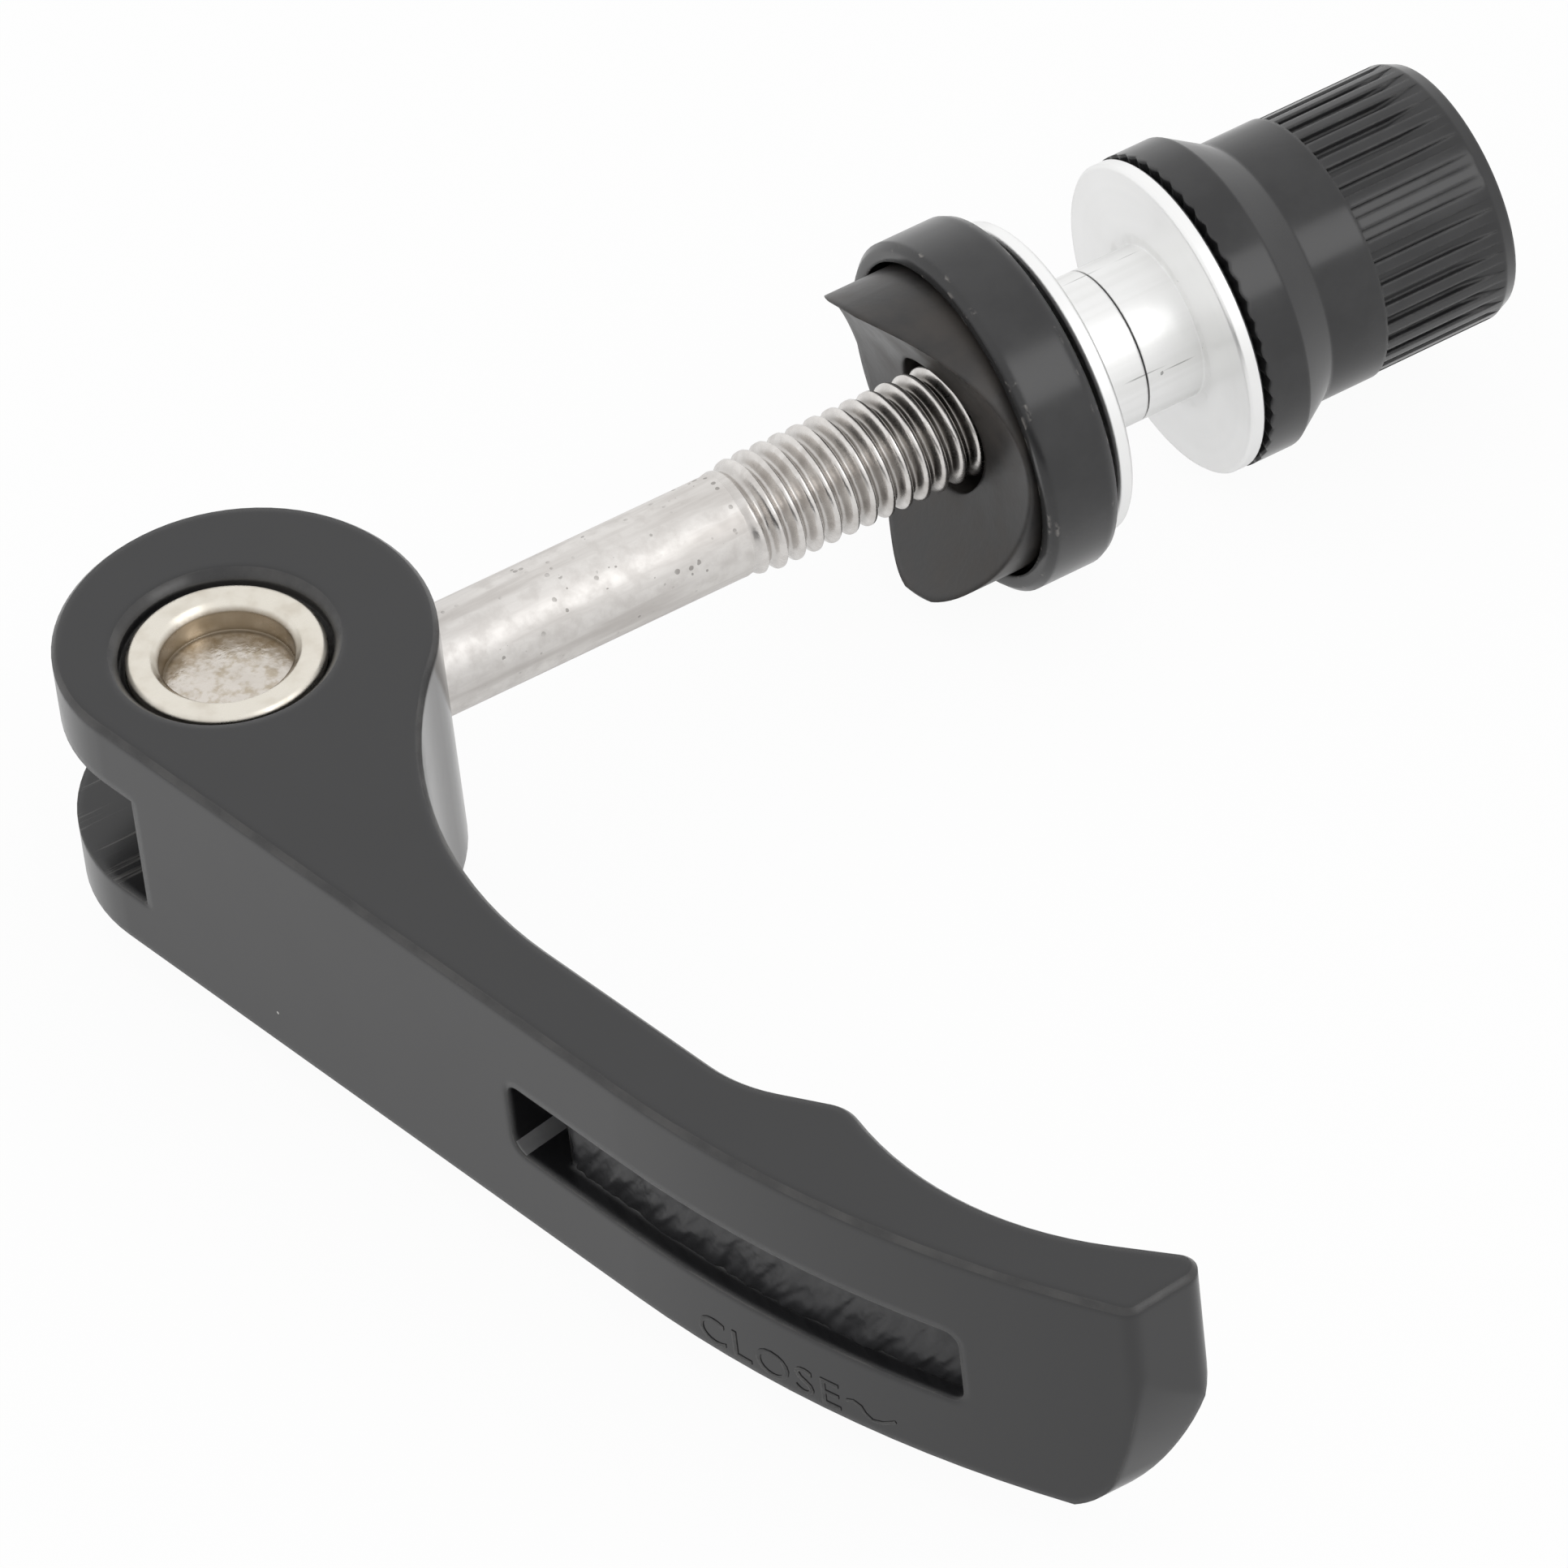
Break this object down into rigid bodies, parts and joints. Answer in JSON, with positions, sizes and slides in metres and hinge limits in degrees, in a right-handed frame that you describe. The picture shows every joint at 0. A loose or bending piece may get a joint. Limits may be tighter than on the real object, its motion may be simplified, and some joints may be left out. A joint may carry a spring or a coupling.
{
  "type": "quick release seatpost clamp bolt",
  "caption": "Quick release clamp: forked cam lever on a cross barrel, cam saddle in a cup, flanged bushes and a ribbed capped nut on a bolt that draws a seatpost collar's ears together.",
  "frame": {"origin": "on the bolt axis, at the face of the inner bush's flange that seats on the collar", "axes": "+X along the bolt towards the capped nut, +Z along the cross barrel, the lever arm points to -Y when closed"},
  "size_m": [0.0754, 0.0716, 0.0182],
  "materials": {
    "lever_black": "satin black anodised",
    "barrel_nickel": "turned, nickel plated",
    "bolt_zinc": "bright zinc with small pits",
    "saddle_black": "matte black",
    "cup_black": "gloss black, edges worn",
    "bush_bright": "bright turned",
    "nut_black": "satin black anodised"
  },
  "bodies": {
    "bolt": {"clamp_bolt": "bolt_zinc", "pivot_barrel": "barrel_nickel"},
    "lever": {"lever": "lever_black"},
    "outer_bush": {"outer_bush": "bush_bright"},
    "nut": {"adjuster_nut": "nut_black"},
    "inner_bush": {"inner_bush": "bush_bright"},
    "cup": {"saddle_cup": "cup_black"},
    "saddle": {"cam_saddle": "saddle_black"}
  },
  "joints": [
    {"name": "lever_swing", "type": "hinge", "parent": "bolt", "child": "lever", "pos_m": [-0.04445, 0, 0], "axis": [0, 0, -1], "range_deg": [0, 180]},
    {"name": "nut_travel", "type": "slide", "parent": "bolt", "child": "outer_bush", "axis": [1, 0, 0], "range_m": [-0.0055, 0.003]},
    {"name": "nut_screw", "type": "hinge", "parent": "outer_bush", "child": "nut", "pos_m": [0.00775, 0, 0], "axis": [1, 0, 0], "range_deg": [-1980, 1080]},
    {"name": "inner_bush_slide", "type": "slide", "parent": "outer_bush", "child": "inner_bush", "axis": [1, 0, 0], "range_m": [-0.02, 0]},
    {"name": "cup_slide", "type": "slide", "parent": "inner_bush", "child": "cup", "axis": [1, 0, 0], "range_m": [-0.0025, 0.0004]},
    {"name": "saddle_turn", "type": "hinge", "parent": "cup", "child": "saddle", "pos_m": [-0.005, 0, 0], "axis": [1, 0, 0], "range_deg": [-73, 107]}
  ],
  "couplings": [
    {"joint": "nut_travel", "follows": "nut_screw", "m_per_rad": 0.00015915}
  ]
}
